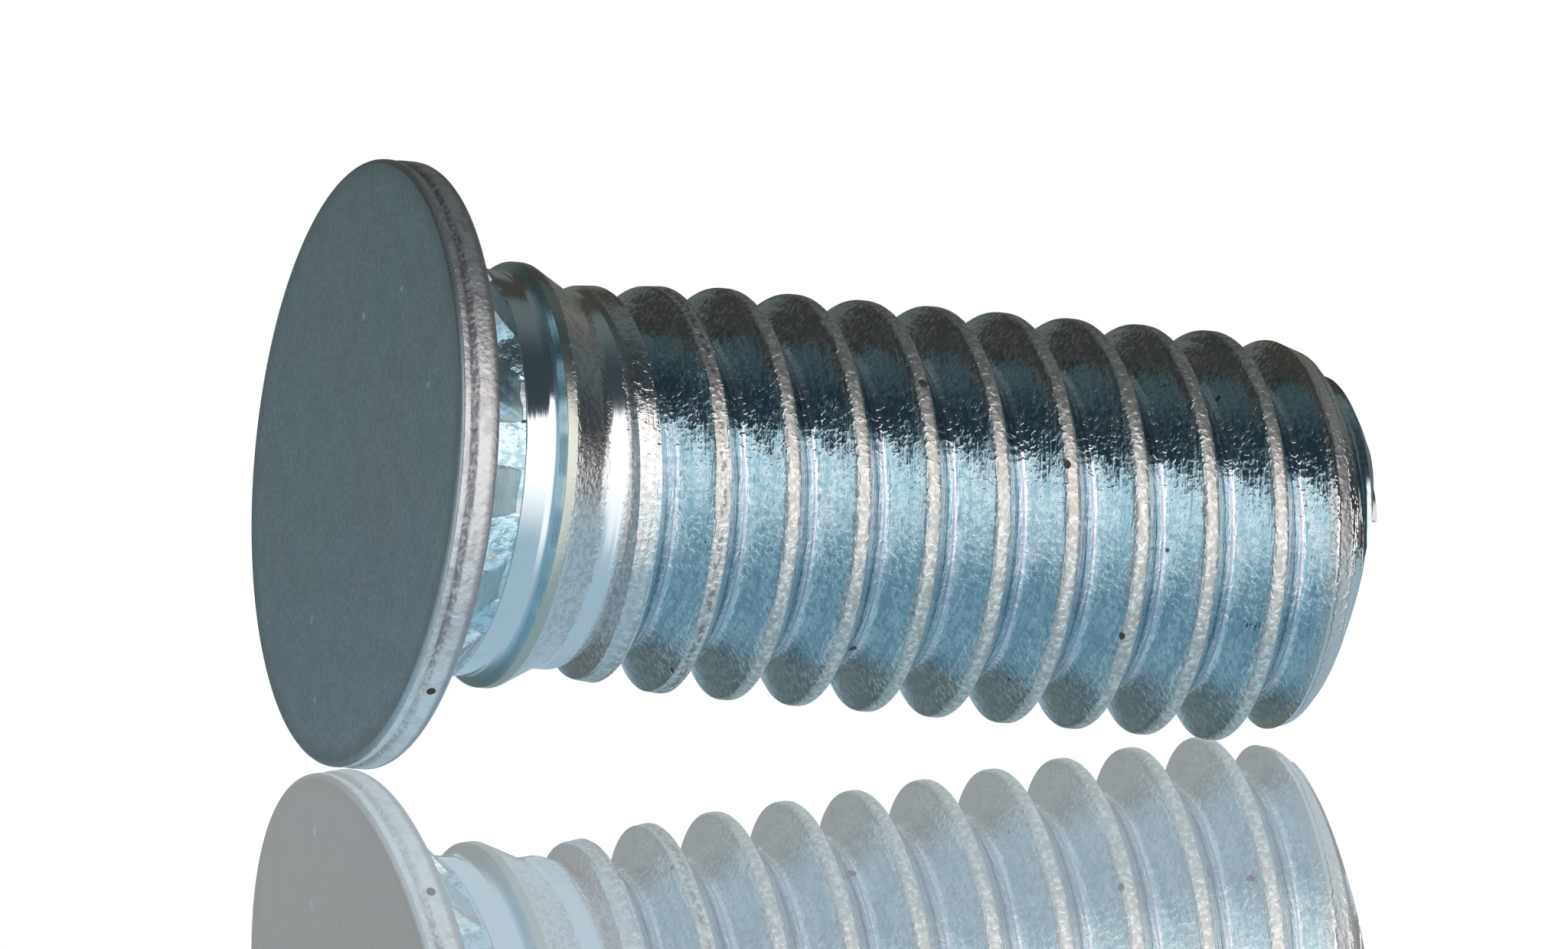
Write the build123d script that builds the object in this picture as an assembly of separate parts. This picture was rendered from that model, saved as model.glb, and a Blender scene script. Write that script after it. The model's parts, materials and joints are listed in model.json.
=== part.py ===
"""Self-clinching stud: a thin flush head with clinch ribs behind it, an undercut
clinch groove with its ridge, and a rolled right-hand metric thread.

The stud stands on its head. The origin is the centre of the head's outer face,
and +Z runs along the shank to the threaded tip. All sizes are in millimetres.
"""

from build123d import *
from math import radians, tan
import os

# Overall
stud_length = 9.85

# Head: a thin disc with a rounded front edge and back edge
head_diameter = 5.70
head_thickness = 0.41
face_edge_round = 0.05
rim_back_round = 0.06

# Clinch ribs: sloping webs between the back of the head and the shank
rib_count = 14
rib_angle = 12.5
rib_reach = 2.56
rib_length = 0.54
first_rib_centre = -84.3

# Shank between the head and the thread, in order from the head
collar_diameter = 3.92
collar_length = 0.59
groove_diameter = 3.76
groove_length = 0.30
ridge_diameter = 4.00
ridge_rise = 0.08
ridge_width = 0.10
taper_length = 0.38
land_diameter = 3.56
land_length = 0.20
root_run_out = 0.60

# Thread, M4 x 0.7, right-hand
thread_diameter = 3.85
thread_pitch = 0.70
crest_flat = 0.12
root_flat = 0.11
flank_half_angle = 30.0
crest_height_at_zero_angle = 0.3567
first_crest_diameter = 3.66
crest_growth_length = 1.30

# Rounded point at the end of the thread
point_length = 1.25
point_end_diameter = 2.30
point_bulge = 0.24

# Working allowances for overlapping the tools with the metal that they meet
overlap = 0.06
tool_margin = 0.50

# Heights along the shank
collar_end = head_thickness + collar_length
groove_end = collar_end + groove_length
ridge_start = groove_end + ridge_rise
ridge_end = ridge_start + ridge_width
land_start = ridge_end + taper_length
land_end = land_start + land_length
root_start = land_end + root_run_out
point_start = stud_length - point_length

# Thread section
head_radius = head_diameter / 2
crest_radius = thread_diameter / 2
thread_depth = (thread_pitch - crest_flat - root_flat) / (2 * tan(radians(flank_half_angle)))
root_radius = crest_radius - thread_depth


def at(radius, height):
    """A point of a half section: its distance from the axis and its height."""
    return Vector(radius, height)


def half_section(edges):
    """A closed half section, stood up on the XZ plane."""
    return Plane.XZ * make_face(Wire(edges))


def spin(*edges):
    """Turns a closed half section about the stud's axis."""
    return revolve(half_section(edges), axis=Axis.Z)


def path(*points):
    """Straight edges through the given points of a half section."""
    return [Line(a, b) for a, b in zip(points, points[1:])]


def blank():
    """Head, shank and root cylinder, left long at the tip for the point to be cut."""
    shank_top = stud_length + thread_pitch
    front_start = at(head_radius - face_edge_round, 0)
    front_end = at(head_radius, face_edge_round)
    back_start = at(head_radius, head_thickness - rim_back_round)
    back_end = at(head_radius - rim_back_round, head_thickness)
    section = path(at(0, 0), front_start)
    section += [RadiusArc(front_start, front_end, -face_edge_round)]
    section += path(front_end, back_start)
    section += [RadiusArc(back_start, back_end, -rim_back_round)]
    section += path(
        back_end,
        at(collar_diameter / 2, head_thickness),
        at(collar_diameter / 2, collar_end),
        at(groove_diameter / 2, groove_end),
        at(ridge_diameter / 2, ridge_start),
        at(ridge_diameter / 2, ridge_end),
        at(land_diameter / 2, land_start),
        at(land_diameter / 2, land_end),
        at(root_radius, root_start),
        at(root_radius, shank_top),
        at(0, shank_top),
        at(0, 0),
    )
    return spin(*section)


def clinch_ribs():
    """Ribs spaced evenly round the collar, each sloping from the head to the shank."""
    foot = collar_diameter / 2 - overlap
    web = path(
        at(foot, head_thickness - overlap),
        at(rib_reach, head_thickness - overlap),
        at(rib_reach, head_thickness),
        at(collar_diameter / 2, head_thickness + rib_length),
        at(foot, head_thickness + rib_length),
        at(foot, head_thickness - overlap),
    )
    rib = revolve(half_section(web), axis=Axis.Z, revolution_arc=rib_angle)
    step = 360 / rib_count
    start = first_rib_centre - rib_angle / 2
    return [Rot(0, 0, start + step * i) * rib for i in range(rib_count)]


def helix_edge(radius, first_height):
    """One turn of a right-hand helix that starts at the given height on the +X side."""
    edge = Edge.make_helix(pitch=thread_pitch, height=thread_pitch, radius=radius)
    return edge.moved(Location((0, 0, first_height)))


def ridge_turn(first_height):
    """One turn of the thread's ridge, sunk a little into the root cylinder."""
    base_radius = root_radius - overlap
    half_crest = crest_flat / 2
    half_base = half_crest + (crest_radius - base_radius) * tan(radians(flank_half_angle))
    corners = [
        (crest_radius, -half_crest),
        (crest_radius, half_crest),
        (base_radius, half_base),
        (base_radius, -half_base),
    ]
    helices = [helix_edge(radius, first_height + rise) for radius, rise in corners]
    sides = [
        Face.make_surface_from_curves(helices[i], helices[(i + 1) % len(helices)])
        for i in range(len(helices))
    ]
    caps = [
        Face(Wire.make_polygon([helix @ end for helix in helices], close=True))
        for end in (0, 1)
    ]
    return Solid(Shell(sides + caps))


def thread_ridge():
    """The whole ridge, turn by turn, from below the land to past the end of the stud.

    The run-out limit trims the first turns. The point is cut later.
    """
    limit = run_out_limit()
    growth_end = land_end + crest_growth_length
    turns_below = int((land_start - crest_height_at_zero_angle) // thread_pitch)
    height = crest_height_at_zero_angle + (turns_below - 1) * thread_pitch
    turns = []
    while height < stud_length + thread_pitch:
        turn = ridge_turn(height)
        if height - thread_pitch < growth_end:
            turn = turn & limit
        turns += turn.solids() if turn else []
        height += thread_pitch
    return turns


def run_out_limit():
    """Room for the ridge: it grows out of the land to the full crest, then runs free."""
    first_radius = first_crest_diameter / 2
    sunk_radius = land_diameter / 2 - overlap
    free_radius = crest_radius + tool_margin
    top = stud_length + 2 * thread_pitch + tool_margin
    growth_end = land_end + crest_growth_length
    section = path(
        at(0, land_start),
        at(sunk_radius, land_start),
        at(first_radius, land_end),
        at(crest_radius, growth_end),
        at(free_radius, growth_end),
        at(free_radius, top),
        at(0, top),
        at(0, land_start),
    )
    return spin(*section)


def point_cutter():
    """The metal outside the rounded point and past the end of the stud."""
    outside = crest_radius + 2 * tool_margin
    top = stud_length + 4 * thread_pitch + tool_margin
    shoulder = at(crest_radius + overlap, point_start)
    edge = at(crest_radius, point_start)
    end = at(point_end_diameter / 2, stud_length)
    section = path(at(outside, point_start), shoulder, edge)
    section += [SagittaArc(edge, end, -point_bulge)]
    section += path(
        end,
        at(0, stud_length),
        at(0, top),
        at(outside, top),
        at(outside, point_start),
    )
    return spin(*section)


stud = blank() + clinch_ribs() + thread_ridge()
stud -= point_cutter()

os.makedirs("parts", exist_ok=True)
export_step(stud, "parts/stud.step")
print("root diameter", round(2 * root_radius, 3), "volume", round(stud.volume, 3), "mm3")
print("solids", len(stud.solids()), "valid", stud.is_valid)
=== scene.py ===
import json
from math import atan, atan2, cos, hypot, inf, pi, radians, sin, tan

import bpy
from mathutils import Matrix, Vector, noise

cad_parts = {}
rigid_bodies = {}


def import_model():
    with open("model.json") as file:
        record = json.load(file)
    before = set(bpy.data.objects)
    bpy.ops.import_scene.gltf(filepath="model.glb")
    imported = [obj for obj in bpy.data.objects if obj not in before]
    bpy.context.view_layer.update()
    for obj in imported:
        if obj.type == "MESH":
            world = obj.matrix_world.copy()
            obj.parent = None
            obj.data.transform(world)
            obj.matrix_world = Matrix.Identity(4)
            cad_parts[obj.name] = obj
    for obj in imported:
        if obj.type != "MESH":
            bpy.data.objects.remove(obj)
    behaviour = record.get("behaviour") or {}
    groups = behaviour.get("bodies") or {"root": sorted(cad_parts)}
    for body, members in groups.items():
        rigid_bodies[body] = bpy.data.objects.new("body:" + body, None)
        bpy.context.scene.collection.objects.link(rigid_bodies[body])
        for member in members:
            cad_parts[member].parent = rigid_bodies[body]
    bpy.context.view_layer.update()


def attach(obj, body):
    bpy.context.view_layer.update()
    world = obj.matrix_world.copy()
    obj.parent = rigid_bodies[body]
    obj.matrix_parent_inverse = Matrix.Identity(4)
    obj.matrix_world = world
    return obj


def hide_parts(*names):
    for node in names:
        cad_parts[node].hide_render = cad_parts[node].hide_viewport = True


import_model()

mm = 0.001
weldGap = 0.0002         # in the millimetres that the stud is modelled in
print("stage 1: the frame is loaded")


# Small helpers for working in edit mode

def deselectAll():
    bpy.ops.object.select_all(action="DESELECT")


def work(piece):
    deselectAll()
    piece.select_set(True)
    bpy.context.view_layer.objects.active = piece


def editAll(piece):
    work(piece)
    bpy.ops.object.mode_set(mode="EDIT")
    bpy.ops.mesh.select_all(action="SELECT")


def leaveEdit():
    bpy.ops.object.mode_set(mode="OBJECT")


def drawOutline(name, points):
    # one vertex, drawn on from point to point in the XZ plane
    deselectAll()
    first = points[0]
    bpy.ops.mesh.primitive_plane_add(size=1, location=(first[0], 0, first[1]))
    piece = bpy.context.active_object
    piece.name = name
    bpy.ops.object.transform_apply(location=True, rotation=True, scale=True)
    bpy.ops.object.mode_set(mode="EDIT")
    bpy.ops.mesh.select_all(action="SELECT")
    bpy.ops.mesh.merge(type="CENTER")
    for here, there in zip(points, points[1:]):
        step = (there[0] - here[0], 0, there[1] - here[1])
        bpy.ops.mesh.extrude_vertices_move(TRANSFORM_OT_translate={"value": step})
    leaveEdit()
    return piece


def roundCorner(piece, corner, radius, cuts):
    # cuts back one corner of an outline and rounds it
    place = Vector((corner[0], 0, corner[1]))
    nearest = min(piece.data.vertices, key=lambda v: (v.co - place).length)
    ends = []
    for edge in piece.data.edges:
        if nearest.index in edge.vertices:
            other = edge.vertices[0] if edge.vertices[1] == nearest.index else edge.vertices[1]
            ends.append((piece.data.vertices[other].co - nearest.co).normalized())
    turn = pi - ends[0].angle(ends[1])
    index = nearest.index
    work(piece)
    bpy.ops.object.mode_set(mode="EDIT")
    bpy.ops.mesh.select_all(action="DESELECT")
    bpy.ops.mesh.select_mode(type="VERT")
    leaveEdit()
    piece.data.vertices[index].select = True
    bpy.ops.object.mode_set(mode="EDIT")
    bpy.ops.mesh.bevel(offset=radius * tan(turn / 2), segments=cuts, profile=0.5,
                       affect="VERTICES", clamp_overlap=False)
    leaveEdit()


def weld(piece, gap=weldGap):
    editAll(piece)
    bpy.ops.mesh.remove_doubles(threshold=gap)
    bpy.ops.mesh.normals_make_consistent(inside=False)
    leaveEdit()


def applyAll(piece):
    work(piece)
    for modifier in list(piece.modifiers):
        bpy.ops.object.modifier_apply(modifier=modifier.name)


def combine(piece, other, operation):
    joined = piece.modifiers.new("combine", "BOOLEAN")
    joined.operation = operation
    joined.solver = "MANIFOLD"
    joined.object = other
    applyAll(piece)
    bpy.data.objects.remove(other)


def spinOutline(name, points, steps, angle=2 * pi):
    piece = drawOutline(name, points)
    editAll(piece)
    bpy.ops.mesh.remove_doubles(threshold=weldGap)
    bpy.ops.mesh.spin(steps=steps, angle=angle, center=(0, 0, 0), axis=(0, 0, 1))
    leaveEdit()
    return piece


# The stud is modelled in millimetres and brought to metres at the end

studSizes = {
    "length": 9.85,
    "headRadius": 2.85,
    "headThickness": 0.41,
    "rimFoldStart": 0.095,       # a shallow fold round the rim
    "rimFoldWidth": 0.100,
    "rimFoldDepth": 0.030,
    "collarRadius": 1.96,
    "collarEnd": 1.00,
    "collarStep": 0.022,
    "grooveRadius": 1.88,
    "grooveEnd": 1.30,
    "ridgeRadius": 2.00,
    "ridgeStart": 1.38,
    "ridgeEnd": 1.48,
    "landRadius": 1.78,
    "landStart": 1.86,
    "landEnd": 2.06,
    "runOutLength": 0.60,
    "coreInset": 0.10,           # how far the shell's top lies inside the thread's root
    "coreCap": 0.05,
    "aroundSteps": 192,
    "lastWeldGap": 0.001,
    "smoothAngle": radians(32),
    # radius and number of cuts of each rounded corner
    "faceEdgeRound": (0.05, 5),
    "foldRound": (0.04, 2),
    "rimBackRound": (0.09, 5),
    "collarFootRound": (0.04, 4),
    "grooveBedRound": (0.11, 8),
    "ridgeLowRound": (0.025, 4),
    "ridgeHighRound": (0.03, 4),
    "landLowRound": (0.25, 6),
    "landHighRound": (0.10, 4),
}

threadSizes = {
    "pitch": 0.70,
    "crestRadius": 1.925,
    "crestFlat": 0.12,
    "rootFlat": 0.11,
    "flankAngle": radians(30),
    "crestRound": (0.050, 3),    # radius and number of cuts
    "rootRound": (0.088, 5),
    "crestHeight": 0.3567,       # height of a crest on the +X side
    "firstCrestRadius": 1.83,
    "growthLength": 1.30,
    "runOutSunk": 0.06,
    "stepsPerTurn": 160,
    "turnsBelow": 1,
    "flankCuts": 5,
    "trimMargin": 0.10,
    "trimTolerance": 0.00001,
}

pointSizes = {
    # radius and height of the rounded point, from the last full crest to the flat end
    "outline": [(1.935, 8.60), (1.932, 8.72), (1.920, 8.85), (1.893, 9.00), (1.850, 9.13),
                (1.805, 9.275), (1.775, 9.305), (1.738, 9.415), (1.625, 9.50), (1.592, 9.58),
                (1.425, 9.70), (1.262, 9.80), (1.190, 9.835), (1.150, 9.85)],
    "around": 192,
    "cutterRadius": 2.6,
    "cutterRise": 0.5,
    "endMiddle": 9.805,          # height of the sheared end on the axis
    "endFall": (0.14, -0.135),   # its fall along X and Y
    "endCutterWidth": 6,
    "burr": [(1.20, 9.60), (1.350, 9.60), (1.335, 9.76), (1.26, 9.76)],
    "burrTurns": (radians(-128), radians(-100)),
    "burrSteps": 14,
    "burrTaper": 0.09,
    "burrTopBand": 0.01,
}

ribSizes = {
    "count": 14,
    "angle": radians(12.5),
    "reach": 2.56,
    "length": 0.54,
    "firstCentre": radians(-84.3),
    "sunk": 0.06,
    "spinSteps": 6,
    "round": 0.03,
    "roundCuts": 3,
    "roundAngle": radians(25),   # only edges sharper than this are rounded
    "uneven": 0.022,
    "unevenSize": 0.16,
    "unevenSeed": 4,
    "unevenCuts": 2,
    "evenFoot": 0.02,            # height above the head that stays even
}

threadDepth = (threadSizes["pitch"] - threadSizes["crestFlat"] - threadSizes["rootFlat"]) / (
    2 * tan(threadSizes["flankAngle"]))
rootRadius = threadSizes["crestRadius"] - threadDepth


def blankShell():
    # head, collar, groove, ridge, taper, land and the cone that sinks into the thread's root
    s = studSizes
    coneSlope = (s["landRadius"] - rootRadius) / s["runOutLength"]
    coreRadius = rootRadius - s["coreInset"]
    coneEnd = s["landEnd"] + (s["landRadius"] - coreRadius) / coneSlope
    faceEdge = (s["headRadius"], 0)
    foldTop = (s["headRadius"], s["rimFoldStart"])
    foldBed = (s["headRadius"] - s["rimFoldDepth"], s["rimFoldStart"] + s["rimFoldWidth"] / 2)
    foldEnd = (s["headRadius"], s["rimFoldStart"] + s["rimFoldWidth"])
    rimBack = (s["headRadius"], s["headThickness"])
    collarFoot = (s["collarRadius"], s["headThickness"])
    collarTop = (s["collarRadius"], s["collarEnd"] - s["collarStep"])
    grooveTop = (s["collarRadius"] - s["collarStep"], s["collarEnd"])
    grooveBed = (s["grooveRadius"], s["grooveEnd"])
    ridgeLow = (s["ridgeRadius"], s["ridgeStart"])
    ridgeHigh = (s["ridgeRadius"], s["ridgeEnd"])
    landLow = (s["landRadius"], s["landStart"])
    landHigh = (s["landRadius"], s["landEnd"])
    shell = drawOutline("studBody", [
        (0, 0), faceEdge, foldTop, foldBed, foldEnd, rimBack, collarFoot, collarTop, grooveTop,
        grooveBed, ridgeLow, ridgeHigh, landLow, landHigh, (coreRadius, coneEnd),
        (0, coneEnd + s["coreCap"])])
    for corner, rounding in (
            (faceEdge, "faceEdgeRound"), (foldTop, "foldRound"), (foldEnd, "foldRound"),
            (rimBack, "rimBackRound"), (collarFoot, "collarFootRound"),
            (grooveBed, "grooveBedRound"), (ridgeLow, "ridgeLowRound"),
            (ridgeHigh, "ridgeHighRound"), (landLow, "landLowRound"), (landHigh, "landHighRound")):
        radius, cuts = s[rounding]
        roundCorner(shell, corner, radius, cuts)
    editAll(shell)
    bpy.ops.mesh.spin(steps=s["aroundSteps"], angle=2 * pi, center=(0, 0, 0), axis=(0, 0, 1))
    leaveEdit()
    weld(shell)
    return shell


def clinchRibs():
    # one sloping web behind the head, copied round the collar
    s, b = studSizes, ribSizes
    foot = s["collarRadius"] - b["sunk"]
    base = s["headThickness"] - b["sunk"]
    top = s["headThickness"] + b["length"]
    outline = [(foot, base), (b["reach"], base), (b["reach"], s["headThickness"]),
               (s["collarRadius"], top), (foot, top), (foot, base)]
    rib = drawOutline("clinchRib", outline)
    editAll(rib)
    bpy.ops.mesh.remove_doubles(threshold=weldGap)
    bpy.ops.mesh.spin(steps=b["spinSteps"], angle=b["angle"], center=(0, 0, 0), axis=(0, 0, 1))
    bpy.ops.mesh.select_all(action="SELECT")
    bpy.ops.mesh.fill_holes(sides=0)
    bpy.ops.mesh.select_all(action="SELECT")
    bpy.ops.mesh.normals_make_consistent(inside=False)
    leaveEdit()
    centre = sum((v.co for v in rib.data.vertices), Vector()) / len(rib.data.vertices)
    startTurn = b["firstCentre"] - atan2(centre.y, centre.x)
    edging = rib.modifiers.new("edging", "BEVEL")
    edging.width = b["round"]
    edging.segments = b["roundCuts"]
    edging.limit_method = "ANGLE"
    edging.angle_limit = b["roundAngle"]
    applyAll(rib)
    editAll(rib)
    bpy.ops.mesh.subdivide(number_cuts=b["unevenCuts"])
    leaveEdit()
    copies = []
    noise.seed_set(b["unevenSeed"])
    for i in range(b["count"]):
        copy = rib.copy()
        copy.data = rib.data.copy()
        bpy.context.collection.objects.link(copy)
        copy.data.transform(Matrix.Rotation(startTurn + i * 2 * pi / b["count"], 4, "Z"))
        for v in copy.data.vertices:
            if v.co.z > s["headThickness"] + b["evenFoot"]:
                v.co += noise.noise_vector(v.co / b["unevenSize"]) * b["uneven"]
        copies.append(copy)
    bpy.data.objects.remove(rib)
    work(copies[0])
    for copy in copies:
        copy.select_set(True)
    bpy.ops.object.join()
    return copies[0]


def runOutRadius(z):
    # how far out the ridge may reach while it grows from the land
    s, t = studSizes, threadSizes
    sunk = s["landRadius"] - t["runOutSunk"]
    grown = s["landEnd"] + t["growthLength"]
    if z < s["landStart"]:
        return sunk
    if z < s["landEnd"]:
        share = (z - s["landStart"]) / (s["landEnd"] - s["landStart"])
        return sunk + (t["firstCrestRadius"] - sunk) * share
    if z < grown:
        share = (z - s["landEnd"]) / t["growthLength"]
        return t["firstCrestRadius"] + (t["crestRadius"] - t["firstCrestRadius"]) * share
    return inf


def threadSleeve():
    # one pitch of the thread's outline, screwed up the shank
    s, t = studSizes, threadSizes
    flankRun = (t["pitch"] - t["crestFlat"] - t["rootFlat"]) / 2
    firstCrest = t["crestHeight"] + t["turnsBelow"] * t["pitch"]
    z = firstCrest - t["pitch"] / 2
    crest, root = t["crestRadius"], rootRadius
    corners = [(root, z + t["rootFlat"] / 2),
               (crest, firstCrest - t["crestFlat"] / 2),
               (crest, firstCrest + t["crestFlat"] / 2),
               (root, firstCrest + t["crestFlat"] / 2 + flankRun)]
    shares = [i / t["flankCuts"] for i in range(1, t["flankCuts"])]
    rising = [(root + (crest - root) * share, corners[0][1] + flankRun * share)
              for share in shares]
    falling = [(crest + (root - crest) * share, corners[2][1] + flankRun * share)
               for share in shares]
    outline = [(root, z), corners[0], *rising, corners[1], (crest, firstCrest), corners[2],
               *falling, corners[3], (root, z + t["pitch"])]
    sleeve = drawOutline("threadSleeve", outline)
    for corner, rounding in zip(corners, ("rootRound", "crestRound", "crestRound", "rootRound")):
        radius, cuts = t[rounding]
        roundCorner(sleeve, corner, radius, cuts)
    turns = int((s["length"] - z) / t["pitch"]) + 2
    screw = sleeve.modifiers.new("screw", "SCREW")
    screw.axis = "Z"
    screw.angle = 2 * pi
    screw.screw_offset = t["pitch"]
    screw.iterations = turns
    screw.steps = t["stepsPerTurn"]
    screw.render_steps = t["stepsPerTurn"]
    applyAll(sleeve)
    weld(sleeve)
    for v in sleeve.data.vertices:
        reach = hypot(v.co.x, v.co.y)
        limit = runOutRadius(v.co.z)
        if reach > limit:
            v.co.x *= limit / reach
            v.co.y *= limit / reach
    margin = t["trimMargin"]
    for height, clearAbove in ((s["landStart"] - margin, False), (s["length"] + margin, True)):
        editAll(sleeve)
        bpy.ops.mesh.bisect(plane_co=(0, 0, height), plane_no=(0, 0, 1), use_fill=True,
                            clear_inner=not clearAbove, clear_outer=clearAbove,
                            threshold=t["trimTolerance"])
        leaveEdit()
    weld(sleeve)
    return sleeve


def pointCutter():
    # the metal outside the rounded point and past the end
    p = pointSizes
    first, last = p["outline"][0], p["outline"][-1]
    outside, top = p["cutterRadius"], studSizes["length"] + p["cutterRise"]
    outline = [(0, last[1])] + p["outline"][::-1] + [(outside, first[1]), (outside, top), (0, top)]
    cutter = spinOutline("pointCutter", outline, p["around"])
    weld(cutter)
    return cutter


def endCutter():
    # the end was sheared a little out of square
    p = pointSizes
    deselectAll()
    bpy.ops.mesh.primitive_cube_add(size=1, location=(0, 0, 0))
    cutter = bpy.context.active_object
    bpy.ops.transform.resize(value=(p["endCutterWidth"], p["endCutterWidth"], 1))
    bpy.ops.transform.translate(value=(0, 0, 0.5))
    bpy.ops.object.transform_apply(location=True, rotation=True, scale=True)
    fallX, fallY = p["endFall"]
    normal = Vector((fallX, fallY, 1)).normalized()
    turn = Vector((0, 0, 1)).rotation_difference(normal).to_matrix().to_4x4()
    cutter.data.transform(Matrix.Translation((0, 0, p["endMiddle"])) @ turn)
    return cutter


def endBurr():
    # a short raised lip left on the sheared end
    p = pointSizes
    first, last = p["burrTurns"]
    burr = spinOutline("endBurr", p["burr"] + [p["burr"][0]], p["burrSteps"], last - first)
    editAll(burr)
    bpy.ops.mesh.remove_doubles(threshold=weldGap)
    bpy.ops.mesh.fill_holes(sides=0)
    bpy.ops.mesh.select_all(action="SELECT")
    bpy.ops.mesh.normals_make_consistent(inside=False)
    leaveEdit()
    middle = sum((v.co for v in burr.data.vertices), Vector()) / len(burr.data.vertices)
    turned = atan2(middle.y, middle.x)
    burr.data.transform(Matrix.Rotation((first + last) / 2 - turned, 4, "Z"))
    top = p["burr"][2][1]
    for v in burr.data.vertices:
        share = (last - atan2(v.co.y, v.co.x)) / (last - first)      # 0 at the blunt end
        if v.co.z > top - p["burrTopBand"]:
            v.co.z -= p["burrTaper"] * share ** 2
    return burr


def keepOuterShell(piece):
    # drops any closed bubble that a union leaves inside the metal
    lowest = min(piece.data.vertices, key=lambda v: v.co.z).index
    editAll(piece)
    bpy.ops.mesh.select_all(action="DESELECT")
    bpy.ops.mesh.select_mode(type="VERT")
    leaveEdit()
    piece.data.vertices[lowest].select = True
    bpy.ops.object.mode_set(mode="EDIT")
    bpy.ops.mesh.select_linked()
    bpy.ops.mesh.select_all(action="INVERT")
    bpy.ops.mesh.delete(type="VERT")
    leaveEdit()


def makeStud():
    body = blankShell()
    combine(body, clinchRibs(), "UNION")
    combine(body, threadSleeve(), "UNION")
    combine(body, pointCutter(), "DIFFERENCE")
    combine(body, endCutter(), "DIFFERENCE")
    combine(body, endBurr(), "UNION")
    keepOuterShell(body)
    weld(body, studSizes["lastWeldGap"])
    editAll(body)
    bpy.ops.transform.resize(value=(mm, mm, mm), center_override=(0, 0, 0))
    leaveEdit()
    work(body)
    bpy.ops.object.shade_smooth_by_angle(angle=studSizes["smoothAngle"])
    return body


studBody = makeStud()
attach(studBody, "root")
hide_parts("stud")
print("stage 2: stud modelled,", len(studBody.data.polygons), "faces")


# Node helpers

class Reading:
    # a number inside a material; sums on it add Math nodes
    def __init__(self, finish, socket):
        self.finish = finish
        self.socket = socket

    def __add__(self, other):
        return self.finish.sum("ADD", self, other)

    def __radd__(self, other):
        return self.finish.sum("ADD", other, self)

    def __sub__(self, other):
        return self.finish.sum("SUBTRACT", self, other)

    def __rsub__(self, other):
        return self.finish.sum("SUBTRACT", other, self)

    def __mul__(self, other):
        return self.finish.sum("MULTIPLY", self, other)

    def __truediv__(self, other):
        return self.finish.sum("DIVIDE", self, other)

    def __pow__(self, other):
        return self.finish.sum("POWER", self, other)


class Finish:
    # a material's or the world's node tree
    def __init__(self, owner):
        owner.use_nodes = True
        self.tree = owner.node_tree
        self.tree.nodes.clear()

    def node(self, kind, settings=None, sockets=None, output=0):
        made = self.tree.nodes.new(kind)
        for key, value in (settings or {}).items():
            setattr(made, key, value)
        for key, value in (sockets or {}).items():
            socket = made.inputs[key] if isinstance(key, int) else self.find(made.inputs, key)
            if isinstance(value, Reading):
                self.tree.links.new(value.socket, socket)
            elif isinstance(value, tuple) and socket.type == "RGBA":
                socket.default_value = (*value, 1)
            else:
                socket.default_value = value
        out = made.outputs[output] if isinstance(output, int) else self.find(made.outputs, output)
        return Reading(self, out)

    def finish(self, kind, shader):
        out = self.tree.nodes.new(kind)
        self.tree.links.new(shader.socket, out.inputs["Surface"])

    def find(self, sockets, key):
        for socket in sockets:
            if socket.identifier == key or socket.name == key:
                return socket
        raise KeyError(key)

    def sum(self, operation, first, second=0.0):
        return self.node("ShaderNodeMath", {"operation": operation}, {0: first, 1: second})

    def step(self, value, low, high, outLow=0.0, outHigh=1.0):
        settings = {"interpolation_type": "SMOOTHSTEP"}
        sockets = {"Value": value, "From Min": low, "From Max": high, "To Min": outLow,
                   "To Max": outHigh}
        return self.node("ShaderNodeMapRange", settings, sockets, "Result")

    def fall(self, value, low, high):
        return self.step(value, low, high, 1.0, 0.0)

    def between(self, value, low, high, soft):
        return self.step(value, low - soft, low + soft) * self.fall(value, high - soft, high + soft)

    def blend(self, share, first, second):
        sockets = {"Factor_Float": share, "A_Color": first, "B_Color": second}
        return self.node("ShaderNodeMix", {"data_type": "RGBA"}, sockets, "Result_Color")

    def noise(self, place, scale, detail, roughness):
        sockets = {"Vector": place, "Scale": scale, "Detail": detail, "Roughness": roughness}
        return self.node("ShaderNodeTexNoise", {}, sockets, "Fac")

    def stretch(self, place, scale):
        return self.node("ShaderNodeVectorMath", {"operation": "MULTIPLY"}, {0: place, 1: scale})


# Zinc plate with a clear blue passivate, with painted light and shade on the rim and in the
# thread's root

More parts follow.
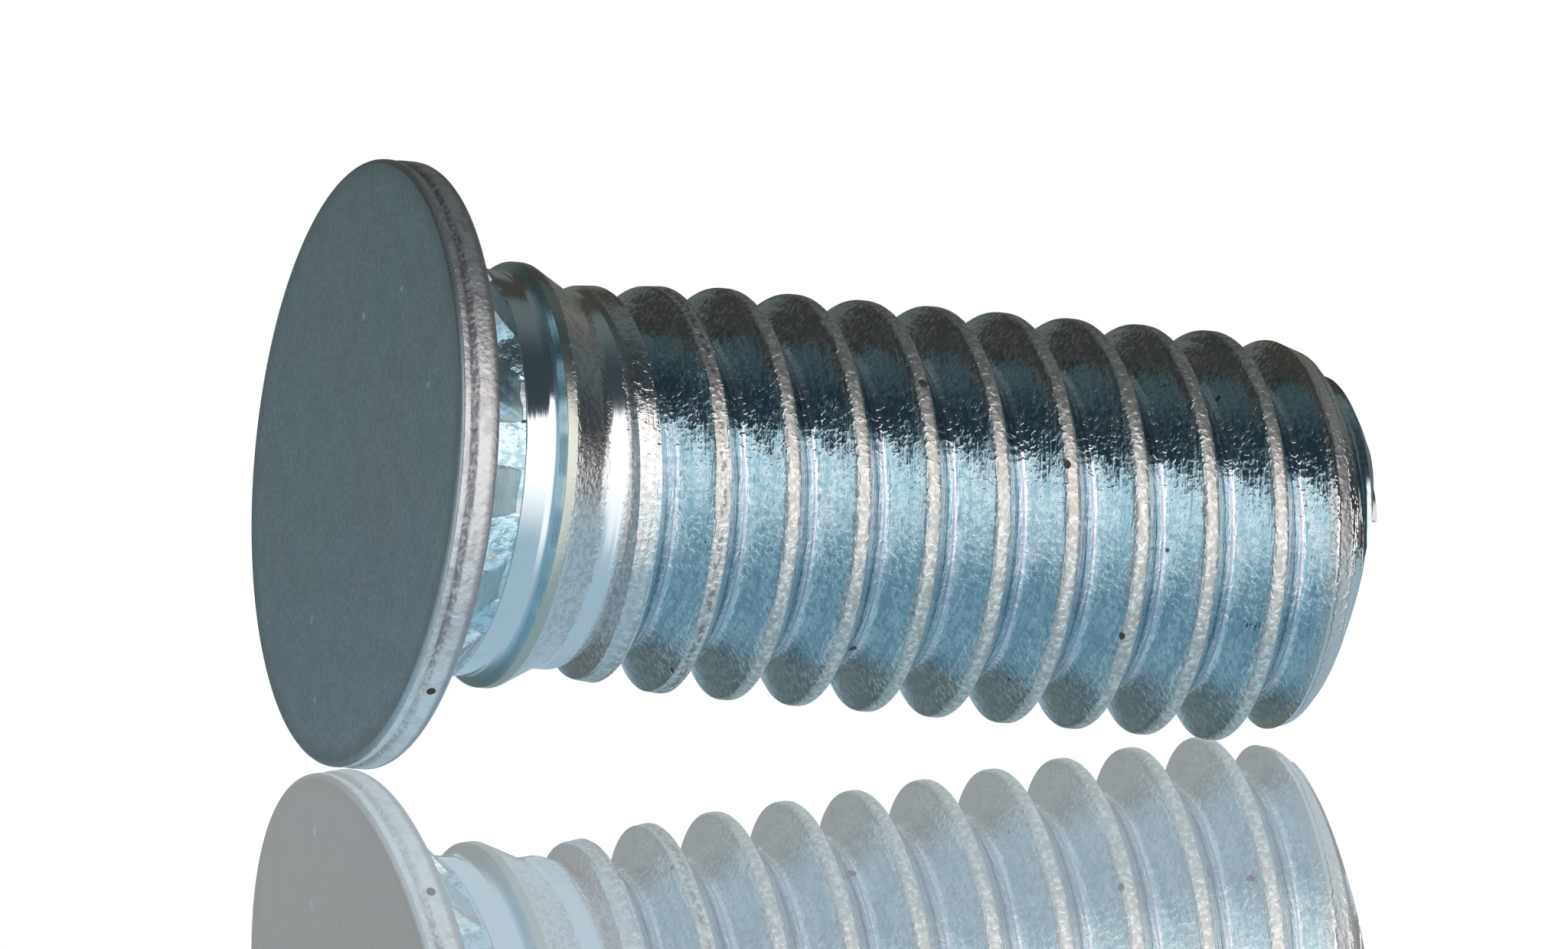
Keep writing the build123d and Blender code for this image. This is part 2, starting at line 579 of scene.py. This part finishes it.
zincLook = {
    "crestColour": (0.50, 0.50, 0.475),
    "flankColour": (0.665, 0.745, 0.775),
    "shankColour": (0.74, 0.79, 0.82),
    "crestPale": (0.78, 0.775, 0.75),
    "flankDeep": (0.43, 0.56, 0.63),
    "flankStreak": (0.43, 0.58, 0.64),
    "tipColour": (0.67, 0.66, 0.65),
    "endColour": (0.43, 0.44, 0.45),
    "pocketColour": (0.56, 0.76, 0.83),
    "pocketDeep": (0.36, 0.48, 0.54),
    "ribColour": (0.60, 0.66, 0.65),
    "wallColour": (0.46, 0.62, 0.70),
    "ridgeColour": (0.50, 0.53, 0.48),
    "tornColour": (0.70, 0.70, 0.695),
    "tornDeep": (0.54, 0.54, 0.55),
    "seamColour": (0.16, 0.15, 0.15),
    # painted shade along the thread's root
    "rootShadeColour": (0.42, 0.40, 0.50),
    "faceColour": (0.665, 0.790, 0.820),
    "faceTint": (0.720, 0.770, 0.815),
    "faceGrime": (0.40, 0.48, 0.52),
    "faceEdgeColour": (0.44, 0.43, 0.41),
    "rimColour": (0.62, 0.625, 0.625),
    # painted shade for the rim's fold and back edge, and also a random mottle on the rim
    "rimShadeAndMottleColour": (0.32, 0.30, 0.33),
    # painted highlight on the rim's lower side, towards the table
    "paintedHighlightColour": (0.92, 0.91, 0.90),
    "smudgeColour": (0.52, 0.62, 0.66),
    "speckColour": (0.13, 0.11, 0.10),
    "specksPerMm": 1.3,
    "speckSize": 0.055,
    "crestRough": 0.40,
    "flankRough": 0.11,
    "shankRough": 0.16,
    "grooveRough": 0.10,
    "wallRough": 0.28,
    "pocketRough": 0.28,
    "ribRough": 0.30,
    "tornRough": 0.19,
    "ridgeRough": 0.30,
    "rimRough": 0.48,
    "faceRough": 0.42,
    "waveHeight": 0.0032,
    "peelHeight": 0.0028,
    "bumpHeight": 0.0026,
    "crestGrain": 0.0065,
    "tipGrain": 0.0040,
    "tornHeight": 0.0058,
    "pocketHeight": 0.0260,
    "rimPeel": 0.0090,
    "rimGrain": 0.0020,
    "drawnLines": 0.0012,
    "rolledLines": 0.0130,
    "faceGrain": 0.0006,
    # scale per mm, detail and roughness of each noise
    "waveNoise": (7.0, 2.0, 0.5),
    "peelNoise": (18.0, 1.0, 0.5),
    "fineNoise": (45.0, 2.0, 0.6),
    "patchNoise": (3.0, 2.0, 0.5),
    "broadNoise": (0.55, 3.0, 0.55),
    "linesNoise": (1.0, 2.0, 0.5),
    "linesStretch": (2.0, 2.0, 26.0),
    "tornNoise": (17.0, 3.0, 0.62),
    "chipsNoise": (9.0, 3.0, 0.6),
    # how a noise between 0 and 1 turns into a share: from, to, and the shares there
    # painted shade in the rim's fold, broken up by noise
    "foldShadeMottle": (0.30, 0.60),
    "rimMottle": (0.48, 0.62, 0.0, 0.4),
    "flankMottle": (0.36, 0.54),
    "streakMottle": (0.46, 0.64, 0.0, 0.85),
    "crestMottle": (0.36, 0.70),
    "seamMottle": (0.44, 0.60, 0.0, 0.75),
    "tintMottle": (0.35, 0.65),
    "grimePatches": (0.42, 0.66, 0.0, 0.22),
    "grimeMottle": (0.40, 0.60, 0.0, 0.42),
    "grimeGrain": (0.40, 0.60, 0.0, 0.30),
    "pocketMottle": (0.38, 0.55),
    "ribMottle": (0.45, 0.60),
    "tornMottle": (0.40, 0.56),
    "smudgeMottle": (0.55, 0.75, 0.0, 0.25),
    "bumpMottle": (0.55, 0.70),
    "paintedHighlightShare": 0.8,
    "paintedHighlightOverFold": 0.7,
    "paintedHighlightOverRim": 0.6,
    "rimBackShadeShare": 0.7,
    "crestLipShare": 0.3,
    "faceEdgeShare": 0.5,
    "fineRough": 0.10,
    "speckRough": 0.4,
    "ridgeTornShare": 0.6,
    "ribChipShare": 0.3,
    # how far the edges of the zones wander
    "wander": 0.06,
    "crestWander": 0.9,
    "crestUneven": 0.04,
    "faceEdgeWander": 2.0,
    "paintedHighlightWander": 3.0,
    "rimBackShadeWander": 0.5,
    "foldWander": 0.6,
    "ribWander": 1.2,
    "ridgeWander": 0.3,
    "taperUneven": 0.16,
    "speckUneven": 0.03,
    "speckSoft": 0.010,
    # where each zone of the finish starts and ends, and how softly, in mm
    "threadZone": (2.0, 2.25),
    "turnedZone": (9.36, 9.48),
    "crestZone": (0.058, 0.076),
    "crestStart": (2.25, 2.45),
    "crestLipZone": (0.064, 0.080, 0.008),
    "seamZone": (2.62, 3.32, 0.10),
    "seamWidth": (0.018, 0.040),
    "rootStart": (2.5, 2.7),
    "rootLine": (0.016, 0.008),
    "tipStart": (8.7, 8.9),
    "tipEdge": (-0.06, 0.0),
    "tipRadius": 1.93,
    "tipHeight": 8.75,
    "tipSlope": 0.40,
    "endZone": (9.80, 9.86),
    "endRise": 0.1,
    "faceZone": (0.03, 0.05),
    "faceEdgeZone": (2.60, 2.82),
    "rimZone": (2.70, 2.78),
    "rimBackShadeZone": (0.290, 0.345),
    # where the rim's painted highlight lies, in radians round the axis
    "paintedHighlightZone": (-0.88, 0.45, 0.22),     # in radians round the axis
    "foldInset": 0.01,
    "foldSoft": 0.014,
    "collarZone": (0.36, 0.985, 0.01),
    "collarReach": (2.60, 2.68),
    "pocketZone": (0.225, 0.265),         # in ribs, 0 on a rib and 0.5 between two
    "neckReach": (2.1, 2.2),
    "grooveZone": (0.99, 1.30, 0.01),
    "wallZone": (1.29, 1.370, 0.012),
    "ridgeZone": (1.375, 1.485, 0.010),
    "taperZone": (1.49, 1.87, 0.02),
    "landZone": (2.07, 2.33, 0.02),
}


def zincPlate():
    look, s, t, b = zincLook, studSizes, threadSizes, ribSizes
    material = bpy.data.materials.new("zincPlate")
    f = Finish(material)
    place = f.node("ShaderNodeTexCoord", {}, {}, "Object")
    spot = f.stretch(place, (1 / mm, 1 / mm, 1 / mm))
    x = f.node("ShaderNodeSeparateXYZ", {}, {0: spot}, "X")
    y = f.node("ShaderNodeSeparateXYZ", {}, {0: spot}, "Y")
    z = f.node("ShaderNodeSeparateXYZ", {}, {0: spot}, "Z")
    reach = (x * x + y * y) ** 0.5
    around = f.sum("ARCTAN2", y, x)
    turns = (z - t["crestHeight"]) / t["pitch"] - around / (2 * pi)
    fromCrest = (turns - f.sum("ROUND", turns)) * t["pitch"]
    offCrest = f.sum("ABSOLUTE", fromCrest)
    ribTurns = (around - b["firstCentre"]) * (b["count"] / (2 * pi))
    offRib = f.sum("ABSOLUTE", ribTurns - f.sum("ROUND", ribTurns))

    wave = f.noise(spot, *look["waveNoise"])
    peel = f.noise(spot, *look["peelNoise"])
    fine = f.noise(spot, *look["fineNoise"])
    patch = f.noise(spot, *look["patchNoise"])
    broad = f.noise(spot, *look["broadNoise"])
    lines = f.noise(f.stretch(spot, look["linesStretch"]), *look["linesNoise"])
    torn = f.noise(spot, *look["tornNoise"])
    chips = f.noise(spot, *look["chipsNoise"])
    scatter = {"Vector": spot, "Scale": look["specksPerMm"]}
    apart = f.node("ShaderNodeTexVoronoi", {}, scatter, "Distance")
    apart = apart + (torn - 0.5) * look["speckUneven"]
    speck = f.fall(apart, look["speckSize"], look["speckSize"] + look["speckSoft"])
    wander = (patch - 0.5) * look["wander"]

    threaded = f.step(z, *look["threadZone"])
    turned = f.fall(z, *look["turnedZone"])
    crestEdge = offCrest + wander * look["crestWander"] + (peel - 0.5) * look["crestUneven"]
    crestRun = f.step(z, *look["crestStart"]) * turned
    onCrest = f.fall(crestEdge, *look["crestZone"]) * crestRun
    crestLip = f.between(crestEdge, *look["crestLipZone"]) * crestRun
    offSeam = f.sum("ABSOLUTE", fromCrest + wander)
    inSeam = f.between(z, *look["seamZone"]) * f.fall(offSeam, *look["seamWidth"])
    # painted shade: a dark line along the thread's root
    rootStart, rootEnd = (t["pitch"] / 2 - inset for inset in look["rootLine"])
    rootShade = f.step(offCrest, rootStart, rootEnd) * f.step(z, *look["rootStart"]) * turned
    tipCone = look["tipRadius"] - (z - look["tipHeight"]) * look["tipSlope"]
    onTip = f.step(reach - tipCone, *look["tipEdge"]) * f.step(z, *look["tipStart"])
    onEnd = f.step(z + reach * look["endRise"], *look["endZone"])
    onFace = f.fall(z, *look["faceZone"])
    faceEdge = onFace * f.step(reach + wander * look["faceEdgeWander"], *look["faceEdgeZone"])
    onRim = f.step(reach, *look["rimZone"]) * (1 - onFace)
    # painted highlight: the rim is painted bright on the side that lies towards the table
    paintedHighlight = f.between(around + wander * look["paintedHighlightWander"], *look["paintedHighlightZone"]) * onRim
    # painted shade on the rim's back edge
    rimBack = f.step(z + wander * look["rimBackShadeWander"], *look["rimBackShadeZone"]) * onRim
    foldStart = s["rimFoldStart"] + look["foldInset"]
    foldEnd = s["rimFoldStart"] + s["rimFoldWidth"] - look["foldInset"]
    foldHeight = z + wander * look["foldWander"]
    inFold = f.between(foldHeight, foldStart, foldEnd, look["foldSoft"]) * onRim
    onCollar = f.between(z, *look["collarZone"]) * f.fall(reach, *look["collarReach"])
    inPocket = onCollar * f.step(offRib + wander * look["ribWander"], *look["pocketZone"])
    onRib = onCollar * (1 - inPocket)
    neck = f.fall(reach, *look["neckReach"])
    onGroove = f.between(z, *look["grooveZone"]) * neck
    onWall = f.between(z, *look["wallZone"]) * neck
    onRidge = f.between(z + wander * look["ridgeWander"], *look["ridgeZone"]) * neck
    ragged = z + wander + (torn - 0.5) * look["taperUneven"]
    onTaper = f.between(ragged, *look["taperZone"]) + f.between(ragged, *look["landZone"])

    flankShare = threaded * (1 - onCrest)
    colour = f.blend(onRim, look["shankColour"], look["rimColour"])
    # painted highlight on the rim's lower side; the fold's painted shade and the rim's mottle are
    # weaker there
    colour = f.blend(paintedHighlight * look["paintedHighlightShare"], colour, look["paintedHighlightColour"])
    # painted shade in the rim's fold, broken up by noise, weaker under the painted highlight
    foldShadeMottle = inFold * f.step(peel, *look["foldShadeMottle"]) * (1 - paintedHighlight * look["paintedHighlightOverFold"])
    colour = f.blend(foldShadeMottle, colour, look["rimShadeAndMottleColour"])
    rimMottle = f.step(wave, *look["rimMottle"]) * (onRim - paintedHighlight * look["paintedHighlightOverRim"])
    colour = f.blend(rimMottle, colour, look["rimShadeAndMottleColour"])
    # painted shade on the rim's back edge
    colour = f.blend(rimBack * look["rimBackShadeShare"], colour, look["rimShadeAndMottleColour"])
    flank = f.blend(f.step(peel, *look["flankMottle"]), look["flankDeep"], look["flankColour"])
    flank = f.blend(f.step(lines, *look["streakMottle"]), flank, look["flankStreak"])
    colour = f.blend(flankShare, colour, flank)
    colour = f.blend(rootShade, colour, look["rootShadeColour"])
    crest = f.blend(f.step(peel, *look["crestMottle"]), look["crestColour"], look["crestPale"])
    colour = f.blend(onCrest, colour, crest)
    colour = f.blend(onTip, colour, look["tipColour"])
    colour = f.blend(onEnd, colour, look["endColour"])
    colour = f.blend(crestLip * look["crestLipShare"], colour, look["seamColour"])
    colour = f.blend(inSeam * f.step(torn, *look["seamMottle"]), colour, look["seamColour"])
    face = f.blend(f.step(broad, *look["tintMottle"]), look["faceColour"], look["faceTint"])
    face = f.blend(faceEdge * look["faceEdgeShare"], face, look["faceEdgeColour"])
    for grain, name in ((patch, "grimePatches"), (torn, "grimeMottle"), (fine, "grimeGrain")):
        face = f.blend(f.step(grain, *look[name]), face, look["faceGrime"])
    colour = f.blend(onFace, colour, face)
    pocketShare = f.step(chips, *look["pocketMottle"])
    pocket = f.blend(pocketShare, look["pocketDeep"], look["pocketColour"])
    colour = f.blend(inPocket, colour, pocket)
    rib = f.blend(f.step(patch, *look["ribMottle"]), look["ribColour"], pocket)
    colour = f.blend(onRib, colour, rib)
    colour = f.blend(onWall, colour, look["wallColour"])
    colour = f.blend(onRidge, colour, look["ridgeColour"])
    taper = f.blend(f.step(torn, *look["tornMottle"]), look["tornDeep"], look["tornColour"])
    colour = f.blend(onTaper, colour, taper)
    smudge = f.step(patch, *look["smudgeMottle"]) * (1 - onFace)
    colour = f.blend(smudge, colour, look["smudgeColour"])
    colour = f.blend(speck * (1 - onFace), colour, look["speckColour"])

    rough = look["shankRough"] + flankShare * (look["flankRough"] - look["shankRough"])
    for mask, name in ((onGroove, "grooveRough"), (onWall, "wallRough"), (onRidge, "ridgeRough"),
                       (inPocket, "pocketRough"), (onRib, "ribRough"), (onTaper, "tornRough"),
                       (onRim, "rimRough"), (onFace, "faceRough")):
        rough = rough + mask * (look[name] - look["shankRough"])
    rough = rough + onCrest * (look["crestRough"] - look["flankRough"])
    rough = rough + (fine - 0.5) * look["fineRough"] + speck * look["speckRough"]

    onFlank = flankShare * turned
    height = peel * ((onFlank + inFold) * look["peelHeight"] + onCrest * look["crestGrain"]
                     + onTip * look["tipGrain"] + onRim * look["rimPeel"])
    height = height + f.step(peel, *look["bumpMottle"]) * (onFlank + onCrest) * look["bumpHeight"]
    height = height + wave * (onFlank + onRim) * look["waveHeight"]
    height = height + fine * (onRim * look["rimGrain"] + onFace * look["faceGrain"])
    tornShare = onTaper + (onRidge + inSeam) * look["ridgeTornShare"]
    height = height + torn * tornShare * look["tornHeight"]
    height = height + chips * (inPocket + onRib * look["ribChipShare"]) * look["pocketHeight"]
    height = height + lines * (1 - threaded) * (1 - onFace) * look["drawnLines"]
    height = height + lines * onFlank * look["rolledLines"]
    relief = {"Strength": 1.0, "Distance": mm, "Height": height}
    bump = f.node("ShaderNodeBump", {}, relief, "Normal")
    plate = {"Base Color": colour, "Metallic": 1.0, "Roughness": rough, "Normal": bump}
    shader = f.node("ShaderNodeBsdfPrincipled", {}, plate, "BSDF")
    f.finish("ShaderNodeOutputMaterial", shader)
    return material


studBody.data.materials.clear()
studBody.data.materials.append(zincPlate())
print("stage 3: zinc plate")


# Camera: the photograph's view of a stud that lies on its side

viewSizes = {
    "imageWidth": 2048,
    "imageHeight": 1239,
    "distance": 300.0,           # mm from the middle of the head's face, along the view
    "pixelsPerMm": 139.81,
    "headCentre": (463.2, 604.0),   # pixel of the middle of the head's face
    "recede": radians(20.44),    # how far the shank runs away from the camera
    "tilt": radians(4.885),      # how far it leans in the picture
    "sensorWidth": 36,
    "clip": (0.01, 10),
}


def makeCamera():
    v = viewSizes
    across = cos(v["recede"])
    shank = Vector((across * cos(v["tilt"]), across * sin(v["tilt"]), sin(v["recede"])))
    sideX = (Vector((0, 1, 0)) - shank * shank.y).normalized()
    sideY = shank.cross(sideX)
    focal = v["pixelsPerMm"] * v["distance"]
    offset = Vector(((v["headCentre"][0] - v["imageWidth"] / 2) * v["distance"] / focal,
                     (v["headCentre"][1] - v["imageHeight"] / 2) * v["distance"] / focal,
                     v["distance"]))
    rows = [Vector((sideX[i], sideY[i], shank[i])) for i in range(3)]
    right, down, forward = rows
    place = -(right * offset.x + down * offset.y + forward * offset.z) * mm
    data = bpy.data.cameras.new("photoView")
    data.sensor_width = v["sensorWidth"]
    data.lens = focal / v["imageWidth"] * data.sensor_width
    data.clip_start, data.clip_end = v["clip"]
    camera = bpy.data.objects.new("photoView", data)
    bpy.context.scene.collection.objects.link(camera)
    turn = Matrix((right, -down, -forward)).transposed()
    camera.matrix_world = Matrix.Translation(place) @ turn.to_4x4()
    bpy.context.scene.camera = camera


makeCamera()


# Studio: a glossy white table under the lying stud, and a plain floor under the standing one

pureWhite = (1.0, 1.0, 1.0)

studioSizes = {
    "contactTurn": radians(5.2),     # where the rim touches the table, from +X
    "crestContact": 8.62,            # heights on the stud that the table touches
    "rimContact": 0.33,
    "tableReach": 60.0,
    "tableMiddle": (0, -25, 5),
    "tableShine": 0.78,
    "shineFacing": (0.70, 0.88),
    "tableGap": 0.010,           # the table and its sheets of air all lie just clear of the stud
    "airGaps": (0.002, 0.006, 0.014),
    "floorReach": 400.0,
    "floorGap": 0.02,
    "shadowReach": 3.5,
    "shadowSamples": 16,
    "shadowColour": (0.42, 0.44, 0.46),
}


def tablePlane():
    s, t, w = studSizes, threadSizes, studioSizes
    lean = atan((s["headRadius"] - t["crestRadius"]) / (w["crestContact"] - w["rimContact"]))
    down = Vector((cos(lean) * cos(w["contactTurn"]), cos(lean) * sin(w["contactTurn"]), sin(lean)))
    depth = s["headRadius"] * cos(lean) + w["rimContact"] * sin(lean)
    return down, depth


def addSheet(name, down, depth, reach, middle):
    deselectAll()
    bpy.ops.mesh.primitive_grid_add(x_subdivisions=4, y_subdivisions=4, size=2 * reach * mm)
    sheet = bpy.context.active_object
    sheet.name = name
    turn = (-down).to_track_quat("Z", "Y").to_matrix().to_4x4()
    onPlane = middle - down * (middle.dot(down) - depth)
    sheet.matrix_world = Matrix.Translation(onPlane * mm) @ turn
    bpy.ops.object.transform_apply(location=True, rotation=True, scale=True)
    sheet.visible_diffuse = False
    sheet.visible_glossy = False
    sheet.visible_transmission = False
    sheet.visible_shadow = False
    return sheet


def tableMaterial():
    # white from above with a mirror at a low angle, and nothing from behind
    material = bpy.data.materials.new("glossyTable")
    f = Finish(material)
    facing = f.node("ShaderNodeLayerWeight", {}, {"Blend": 0.5}, "Facing")
    shine = f.step(facing, *studioSizes["shineFacing"]) * studioSizes["tableShine"]
    white = f.node("ShaderNodeEmission", {}, {"Color": pureWhite, "Strength": 1.0})
    gloss = f.node("ShaderNodeBsdfAnisotropic", {}, {"Color": pureWhite, "Roughness": 0.0})
    top = f.node("ShaderNodeMixShader", {}, {0: shine, 1: white, 2: gloss})
    clear = f.node("ShaderNodeBsdfTransparent")
    under = f.node("ShaderNodeNewGeometry", {}, {}, "Backfacing")
    both = f.node("ShaderNodeMixShader", {}, {0: under, 1: top, 2: clear})
    f.finish("ShaderNodeOutputMaterial", both)
    return material


def clearMaterial():
    material = bpy.data.materials.new("tableAir")
    f = Finish(material)
    f.finish("ShaderNodeOutputMaterial", f.node("ShaderNodeBsdfTransparent"))
    return material


def makeTable():
    # Two sheets of air over the table mark the rays that come back from it.
    # A third behind it keeps a view from that side from being taken for one of them.
    w = studioSizes
    down, depth = tablePlane()
    middle = Vector(w["tableMiddle"])
    table = addSheet("table", down, depth + w["tableGap"], w["tableReach"], middle)
    table.data.materials.append(tableMaterial())
    clear = clearMaterial()
    for i, gap in enumerate(w["airGaps"]):
        air = addSheet("tableAir" + str(i), down, depth + gap, w["tableReach"], middle)
        air.data.materials.append(clear)


def floorMaterial():
    # white from above with the stud's soft shadow, and nothing from below
    look = studioSizes
    material = bpy.data.materials.new("paleFloor")
    f = Finish(material)
    openSky = f.node("ShaderNodeAmbientOcclusion", {"samples": look["shadowSamples"]},
                     {"Color": pureWhite, "Distance": look["shadowReach"] * mm}, "AO")
    colour = f.blend(openSky, look["shadowColour"], pureWhite)
    white = f.node("ShaderNodeEmission", {}, {"Color": colour, "Strength": 1.0})
    clear = f.node("ShaderNodeBsdfTransparent")
    under = f.node("ShaderNodeNewGeometry", {}, {}, "Backfacing")
    both = f.node("ShaderNodeMixShader", {}, {0: under, 1: white, 2: clear})
    f.finish("ShaderNodeOutputMaterial", both)
    return material


def makeFloor():
    # a hair below the stud's face, so that the two never coincide
    w = studioSizes
    floor = addSheet("floor", Vector((0, 0, -1)), w["floorGap"], w["floorReach"], Vector((0, 0, 0)))
    floor.data.materials.append(floorMaterial())


makeTable()
makeFloor()


# World: white to the camera, and a studio of soft boxes and dark cards to the metal

worldLook = {
    "keyStrength": 1.75,
    "keyColour": (1.0, 0.95, 0.92),
    "belowColour": (0.43, 0.58, 0.67),
    "deepColour": (0.165, 0.200, 0.200),
    "navyColour": (0.045, 0.060, 0.072),
    "tealColour": (0.140, 0.170, 0.172),
    "topColour": (0.066, 0.059, 0.052),
    "glowColour": (0.25, 0.25, 0.23),
    "streakColour": (0.16, 0.17, 0.155),
    "headPoleColour": (0.34, 0.37, 0.38),
    "backColour": (0.14, 0.18, 0.19),
    "poleColour": (0.060, 0.060, 0.062),
    "tableSheets": (1.5, 3.5),       # a ray back from the table has passed two or three sheets
    "tableBounces": 2.5,
    # rise: degrees up from the camera's side; side: degrees towards the tip
    "keyLowRise": (-45.0, -5.0),
    "keyFullRise": (-12.0, 12.0),
    "keyTopRise": (41.0, 47.0),
    "keySide": (-28.0, 71.0, 3.0),
    "keyShare": 0.62,            # strength of the key's lower half
    "keyDrop": 18.0,             # how far its lower edge drops towards the head
    "keyDropSide": (18.0, 30.0),
    "keySlope": 0.4,             # how fast its upper edge drops towards the tip
    "keySlopeSide": 20.0,
    "underBackRise": (-176.0, -166.0),
    "underFrontRise": (0.0, 1.0),
    "underFrontSide": (4.0, 12.0),
    "deepRise": (-150.0, -106.0),
    "deepBackRise": (-176.0, -168.0),
    "deepSide": (-36.0, 16.0, 10.0),
    "tealRise": (72.0, 110.0),
    "topRise": (119.0, 130.0),
    "topHeadRise": (92.0, 106.0),
    "topHeadSide": (-38.0, -29.0),
    "glowRise": (122.0, 140.0),
    "glowSide": (36.0, 60.0, 4.0),
    "streakRise": (146.0, 154.0),
    "streakSide": (-18.0, -10.0),
    "backRise": (166.0, 175.0),
    "headPoleRise": (60.0, 85.0),
    "headPoleSide": (-58.0, -46.0),
    "poleRise": (-50.0, 0.0),
    "poleSide": (68.0, 74.0),
}


def makeWorld():
    look = worldLook
    world = bpy.data.worlds.new("studio")
    bpy.context.scene.world = world
    f = Finish(world)
    way = f.node("ShaderNodeTexCoord", {}, {}, "Generated")
    x = f.node("ShaderNodeSeparateXYZ", {}, {0: way}, "X")
    y = f.node("ShaderNodeSeparateXYZ", {}, {0: way}, "Y")
    z = f.node("ShaderNodeSeparateXYZ", {}, {0: way}, "Z")
    rise = f.sum("ARCTAN2", x * -1.0, y * -1.0) * (180 / pi)
    side = f.sum("ARCSINE", z) * (180 / pi)

    underFront = f.fall(rise, *look["underFrontRise"]) * f.step(side, *look["underFrontSide"])
    under = f.sum("MAXIMUM", f.step(rise, *look["underBackRise"]), underFront)
    colour = f.blend(under, look["backColour"], look["belowColour"])
    deep = f.fall(rise, *look["deepRise"]) * f.step(rise, *look["deepBackRise"])
    colour = f.blend(deep * f.between(side, *look["deepSide"]), colour, look["deepColour"])
    tipward = f.sum("MAXIMUM", side - look["keySlopeSide"], 0.0)
    overKey = f.step(rise + tipward * look["keySlope"], *look["keyTopRise"])
    colour = f.blend(overKey, colour, look["navyColour"])
    colour = f.blend(f.step(rise, *look["tealRise"]), colour, look["tealColour"])
    highHead = f.step(rise, *look["topHeadRise"]) * f.fall(side, *look["topHeadSide"])
    high = f.sum("MAXIMUM", f.step(rise, *look["topRise"]), highHead)
    colour = f.blend(high, colour, look["topColour"])
    glow = f.step(rise, *look["glowRise"]) * f.between(side, *look["glowSide"])
    colour = f.blend(glow, colour, look["glowColour"])
    streak = f.step(rise, *look["streakRise"]) * f.step(side, *look["streakSide"])
    colour = f.blend(streak, colour, look["streakColour"])
    colour = f.blend(f.step(rise, *look["backRise"]), colour, look["backColour"])
    headPole = f.fall(side, *look["headPoleSide"]) * f.fall(rise, *look["headPoleRise"])
    colour = f.blend(headPole, colour, look["headPoleColour"])
    pole = f.step(side, *look["poleSide"]) * f.step(rise, *look["poleRise"])
    colour = f.blend(pole, colour, look["poleColour"])
    lower, upper = look["keyShare"], 1 - look["keyShare"]
    dropped = rise + f.step(side, *look["keyDropSide"], look["keyDrop"], 0.0)
    key = f.step(dropped, *look["keyLowRise"]) * lower
    key = key + f.step(rise, *look["keyFullRise"]) * upper
    key = key * (1 - overKey) * f.between(side, *look["keySide"])
    colour = f.blend(key, colour, tuple(c * look["keyStrength"] for c in look["keyColour"]))

    # white to the camera, and to what the camera sees in the table
    seen = f.node("ShaderNodeLightPath", {}, {}, "Is Camera Ray")
    depth = f.node("ShaderNodeLightPath", {}, {}, "Transparent Depth")
    bounces = f.node("ShaderNodeLightPath", {}, {}, "Ray Depth")
    fewest, most = look["tableSheets"]
    fromTable = (f.sum("GREATER_THAN", depth, fewest) * f.sum("LESS_THAN", depth, most)
                 * f.sum("LESS_THAN", bounces, look["tableBounces"]))
    colour = f.blend(f.sum("MAXIMUM", seen, fromTable), colour, pureWhite)
    shader = f.node("ShaderNodeBackground", {}, {"Color": colour, "Strength": 1.0})
    f.finish("ShaderNodeOutputWorld", shader)


makeWorld()
bpy.context.scene.view_settings.view_transform = "Standard"
print("stage 4: studio")
